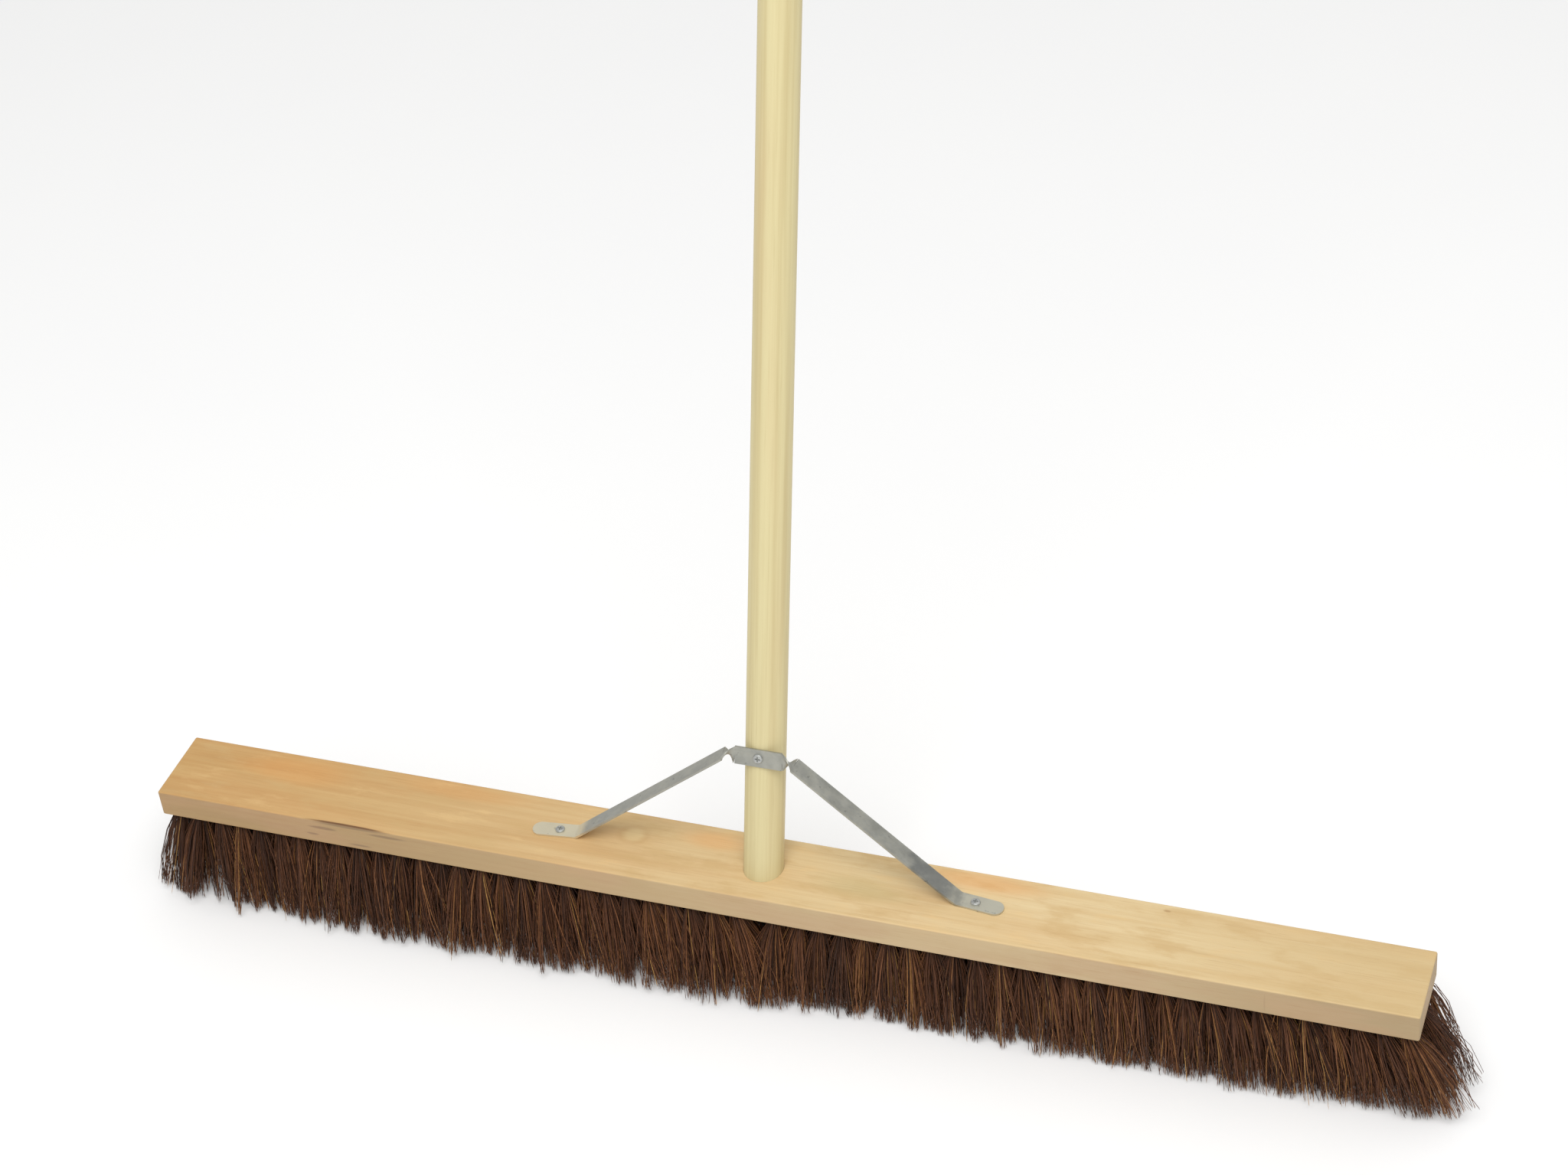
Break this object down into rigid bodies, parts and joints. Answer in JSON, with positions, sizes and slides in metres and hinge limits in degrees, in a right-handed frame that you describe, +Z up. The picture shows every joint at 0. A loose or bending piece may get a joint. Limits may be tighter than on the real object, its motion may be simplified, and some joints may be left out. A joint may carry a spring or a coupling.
{
  "type": "push broom",
  "caption": "Wide push broom: flat wooden head set with tufts of dark palm fibre, and a round wooden handle leaning back from it, braced by a twisted steel stay.",
  "frame": {"origin": "on the floor, in the plane of the trimmed bristle tips, under the centre of the head", "axes": "+X along the head to the right as seen from the front, +Y to the back, where the handle leans, +Z up from the bristle tips to the stock"},
  "size_m": [0.9308, 0.4763, 1.3757],
  "materials": {
    "stock_wood": "planed pale softwood, satin",
    "handle_wood": "smooth turned pale hardwood, satin",
    "zinc_steel": "dull galvanised strip",
    "screw_steel": "zinc-plated",
    "palm_fibre": "coarse dark brown palm fibre, slight gloss",
    "anchor_wire": "drawn wire"
  },
  "bodies": {
    "root": {"stock": "stock_wood", "handle": "handle_wood", "stay": "zinc_steel", "left_foot_screw": "screw_steel", "right_foot_screw": "screw_steel", "plate_screw": "screw_steel", "front_tufts": "palm_fibre", "mid_front_tufts": "palm_fibre", "centre_tufts": "palm_fibre", "mid_back_tufts": "palm_fibre", "back_tufts": "palm_fibre", "front_anchors": "anchor_wire", "mid_front_anchors": "anchor_wire", "centre_anchors": "anchor_wire", "mid_back_anchors": "anchor_wire", "back_anchors": "anchor_wire"}
  },
  "joints": []
}
